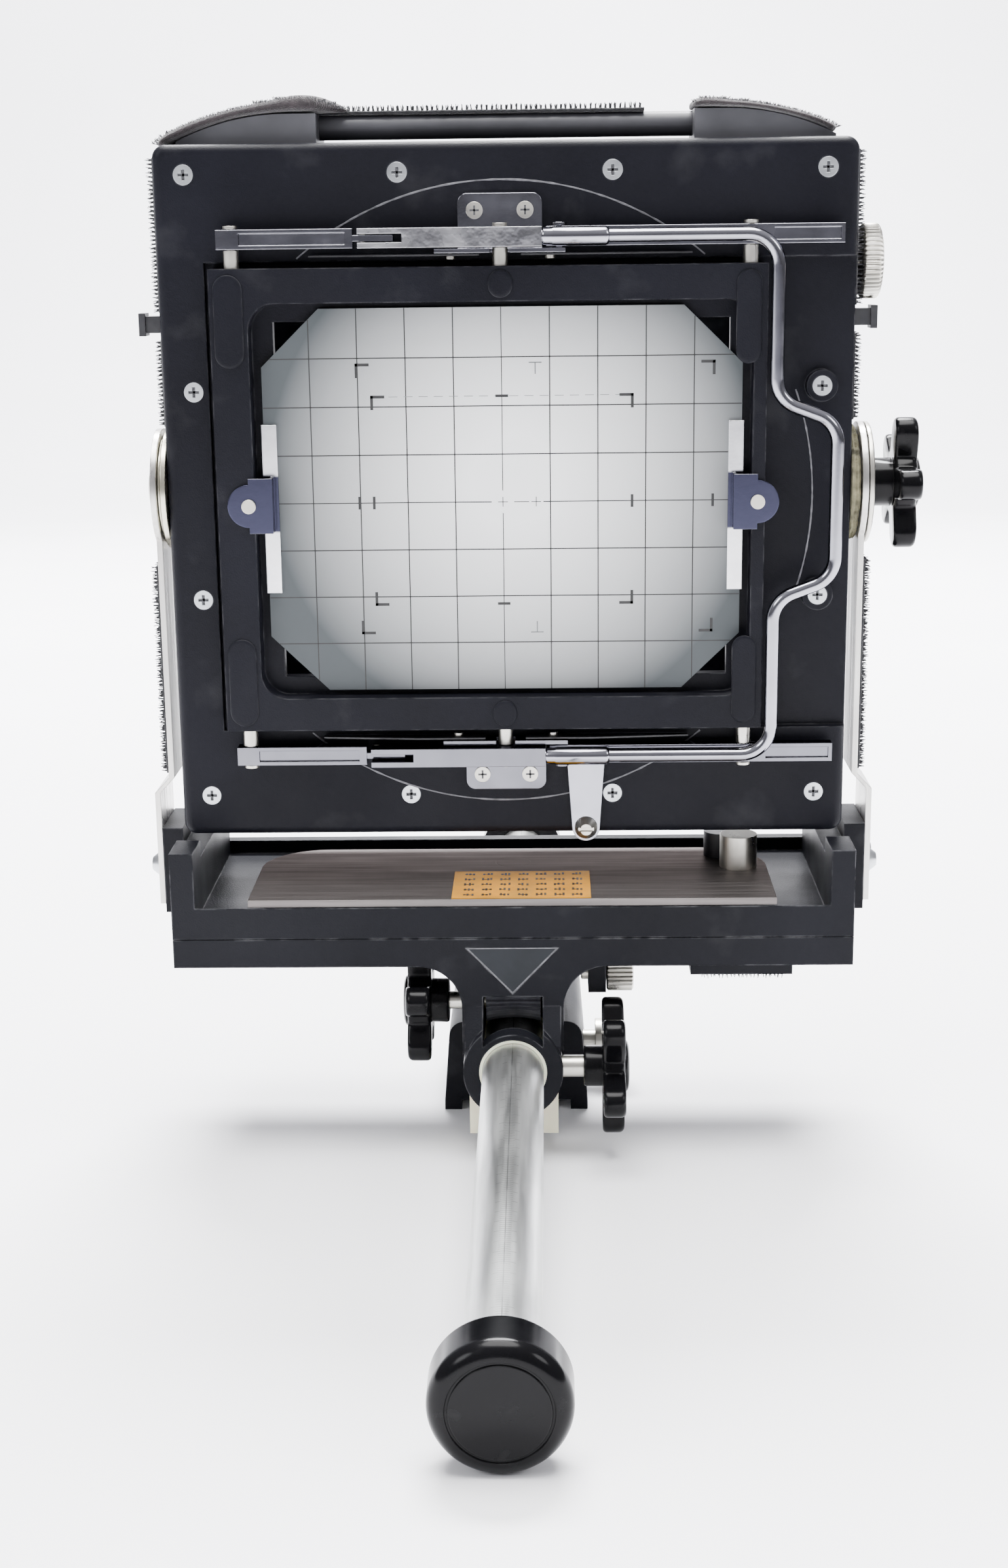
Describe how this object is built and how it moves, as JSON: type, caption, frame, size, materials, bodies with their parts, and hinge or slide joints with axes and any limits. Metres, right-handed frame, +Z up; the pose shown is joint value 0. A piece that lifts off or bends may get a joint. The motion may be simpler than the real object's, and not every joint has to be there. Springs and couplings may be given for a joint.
{
  "type": "view camera rear standard",
  "caption": "Rear standard of a large-format monorail view camera, with spring back, ground glass, tilt arms, swing and shift base, focusing carriage and round rail.",
  "frame": {"origin": "mouth of the tripod socket, at the middle of the rail block's underside", "axes": "+X to the viewer's right, +Y along the rail from the viewer towards the subject, +Z up, opposite to the way out of the tripod socket"},
  "size_m": [0.2152, 0.407, 0.2852],
  "materials": {
    "black_frame": "fine textured satin black",
    "black_cast": "fine textured black paint",
    "black_gloss": "glossy moulded black",
    "black_oxide": "black oxide steel",
    "rail_metal": "satin, scuffed",
    "sheet_metal": "brushed, lightly stained",
    "chrome": "polished",
    "nickel": "satin nickel",
    "zinc": "zinc plated",
    "glass": "ground on one side",
    "nylon": "aged translucent",
    "cork": "aged friction material",
    "loop_fabric": "hook-and-loop",
    "paper": "aged label paper",
    "badge": "smooth dark grey"
  },
  "bodies": {
    "rail": {"rail_tube": "rail_metal", "rail_cap_near": "black_gloss", "rail_cap_far": "black_gloss", "tripod_block": "black_cast"},
    "block_screw": {"block_thumbscrew": "nickel"},
    "carriage": {"carriage_casting": "black_cast", "front_badge": "badge", "rail_liner": "nylon"},
    "focus_drive": {"focus_shaft": "nickel", "focus_roller": "black_oxide", "focus_knob": "black_gloss"},
    "rail_lock": {"rail_lock_screw": "nickel", "rail_lock_knob": "black_gloss"},
    "shift_lock": {"shift_lock_knob": "nickel"},
    "swing": {"swing_plate": "sheet_metal", "pivot_bolt": "black_oxide", "swing_lock_post": "nickel", "swing_stop": "black_oxide", "scale_card": "paper"},
    "tray": {"shift_tray": "black_cast", "tilt_arm_left": "sheet_metal", "tilt_arm_right": "sheet_metal", "arm_screws": "zinc", "arm_strips": "loop_fabric"},
    "rear_frame": {"frame_shell": "black_frame", "back_plate": "black_frame", "back_screws": "zinc", "bellows_flange": "black_frame", "friction_washers": "cork", "tilt_hub_left": "nickel", "tilt_hub_right": "nickel", "handle_mount_left": "black_gloss", "handle_mount_right": "black_gloss", "handle_bar": "black_gloss", "frame_strips": "loop_fabric", "spring_bracket_top": "chrome", "spring_bracket_bottom": "chrome", "bracket_screws": "nickel", "leaf_springs": "black_oxide", "leaf_screws": "nickel", "lever_screw": "nickel"},
    "tilt_lock": {"tilt_lock_knob": "black_gloss"},
    "catch_left": {"back_catch_left": "black_oxide"},
    "catch_right": {"back_catch_right": "black_oxide"},
    "side_lock": {"side_knob": "nickel"},
    "focusing_back": {"focusing_frame": "black_frame", "ground_glass": "glass", "glass_clip_left": "chrome", "glass_clip_right": "chrome", "clip_screws": "nickel", "frame_posts": "nickel"},
    "bail": {"bail_wire": "chrome", "bail_lever_top": "chrome", "bail_lever_bottom": "chrome", "clevis_pins": "nickel"},
    "left_arms": {"left_arm_top": "chrome", "left_arm_bottom": "chrome"},
    "right_bars": {"right_bar_top": "chrome", "right_bar_bottom": "chrome"},
    "lock_lever": {"lock_lever": "chrome"}
  },
  "joints": [
    {"name": "focus_slide", "type": "slide", "parent": "rail", "child": "carriage", "axis": [0, 1, 0], "range_m": [-0.16, 0.0015]},
    {"name": "focus_turn", "type": "hinge", "parent": "carriage", "child": "focus_drive", "pos_m": [0, -0.0505, 0.0435], "axis": [1, 0, 0], "range_deg": [-20, 1840]},
    {"name": "block_screw_turn", "type": "hinge", "parent": "rail", "child": "block_screw", "pos_m": [0, 0, 0.012], "axis": [1, 0, 0], "range_deg": [-180, 180]},
    {"name": "rail_lock_turn", "type": "hinge", "parent": "carriage", "child": "rail_lock", "pos_m": [0, -0.0667, 0.03], "axis": [1, 0, 0], "range_deg": [-180, 180]},
    {"name": "shift_lock_turn", "type": "hinge", "parent": "carriage", "child": "shift_lock", "pos_m": [0.028, -0.046, 0.05], "axis": [1, 0, 0], "range_deg": [-180, 180]},
    {"name": "swing_turn", "type": "hinge", "parent": "carriage", "child": "swing", "pos_m": [0, -0.028, 0.066], "axis": [0, 0, 1], "range_deg": [-20, 20]},
    {"name": "shift_slide", "type": "slide", "parent": "swing", "child": "tray", "axis": [1, 0, 0], "range_m": [-0.012, 0.012]},
    {"name": "tilt_turn", "type": "hinge", "parent": "tray", "child": "rear_frame", "pos_m": [0, -0.028, 0.1853], "axis": [1, 0, 0], "range_deg": [-22, 22]},
    {"name": "tilt_lock_turn", "type": "hinge", "parent": "rear_frame", "child": "tilt_lock", "pos_m": [0.105, -0.028, 0.1853], "axis": [1, 0, 0], "range_deg": [-180, 180]},
    {"name": "catch_left_slide", "type": "slide", "parent": "rear_frame", "child": "catch_left", "axis": [-1, 0, 0], "range_m": [0, 0.004], "stiffness_N_per_m": 400, "springref_m": -0.002},
    {"name": "catch_right_slide", "type": "slide", "parent": "rear_frame", "child": "catch_right", "axis": [1, 0, 0], "range_m": [0, 0.004], "stiffness_N_per_m": 400, "springref_m": -0.002},
    {"name": "side_knob_turn", "type": "hinge", "parent": "rear_frame", "child": "side_lock", "pos_m": [0.094, -0.03, 0.2443], "axis": [1, 0, 0], "range_deg": [-180, 180]},
    {"name": "back_open", "type": "slide", "parent": "rear_frame", "child": "focusing_back", "axis": [0, -1, 0], "range_m": [0, 0.013], "stiffness_N_per_m": 600, "springref_m": -0.012},
    {"name": "bail_turn", "type": "hinge", "parent": "focusing_back", "child": "bail", "pos_m": [-0.0014, -0.0475, 0.183], "axis": [0, 0, -1], "range_deg": [0, 22]},
    {"name": "left_arm_turn", "type": "hinge", "parent": "focusing_back", "child": "left_arms", "pos_m": [-0.0714, -0.0475, 0.183], "axis": [0, 0, 1], "range_deg": [0, 21]},
    {"name": "right_bar_turn", "type": "hinge", "parent": "rear_frame", "child": "right_bars", "pos_m": [0.014, -0.0475, 0.183], "axis": [0, 0, -1], "range_deg": [0, 15]},
    {"name": "lock_lever_turn", "type": "hinge", "parent": "rear_frame", "child": "lock_lever", "pos_m": [0.0206, -0.044, 0.092], "axis": [0, 1, 0], "range_deg": [0, 75]}
  ],
  "couplings": [
    {"joint": "focus_turn", "follows": "focus_slide", "rad_per_m": -200},
    {"joint": "bail_turn", "follows": "back_open", "rad_per_m": 28.76},
    {"joint": "left_arm_turn", "follows": "back_open", "rad_per_m": 27.1},
    {"joint": "right_bar_turn", "follows": "back_open", "rad_per_m": 19.8}
  ]
}
